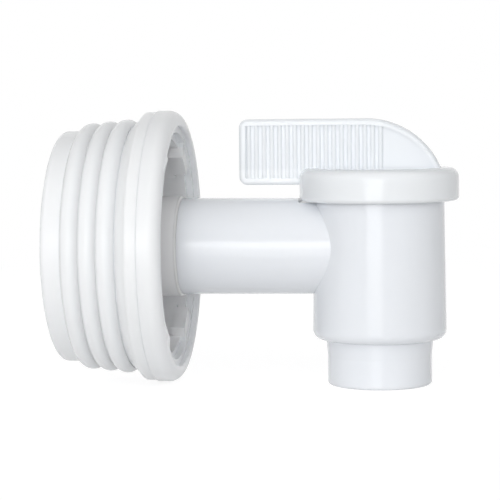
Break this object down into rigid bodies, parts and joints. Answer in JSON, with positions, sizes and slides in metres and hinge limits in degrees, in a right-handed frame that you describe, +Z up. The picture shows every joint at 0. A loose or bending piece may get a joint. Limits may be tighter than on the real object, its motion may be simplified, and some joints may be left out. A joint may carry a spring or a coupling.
{
  "type": "ibc tap adapter",
  "caption": "White plastic ribbed plug with a flange and an open recess, holding a quarter-turn tap with a flat fin lever, an upright barrel and a downward spout.",
  "frame": {"origin": "on the plug's axis, in the plane where the flange bears on its sealing ring", "axes": "+X along the plug's axis from the container to the tap, +Z up, along the barrel's axis"},
  "size_m": [0.0936, 0.0642, 0.0645],
  "materials": {
    "white_plastic": "moulded gloss",
    "seal_white": "soft satin",
    "ring_rubber": "matt"
  },
  "bodies": {
    "tap": {"adapter_plug": "white_plastic", "flange_seal": "seal_white", "tap_body": "white_plastic", "tail_o_ring": "ring_rubber"},
    "lever": {"lever_rotor": "white_plastic", "rotor_o_ring_upper": "ring_rubber", "rotor_o_ring_lower": "ring_rubber"}
  },
  "joints": [
    {"name": "lever_turn", "type": "hinge", "parent": "tap", "child": "lever", "pos_m": [0.0518, 0, 0], "axis": [0, 0, -1], "range_deg": [0, 90]}
  ]
}
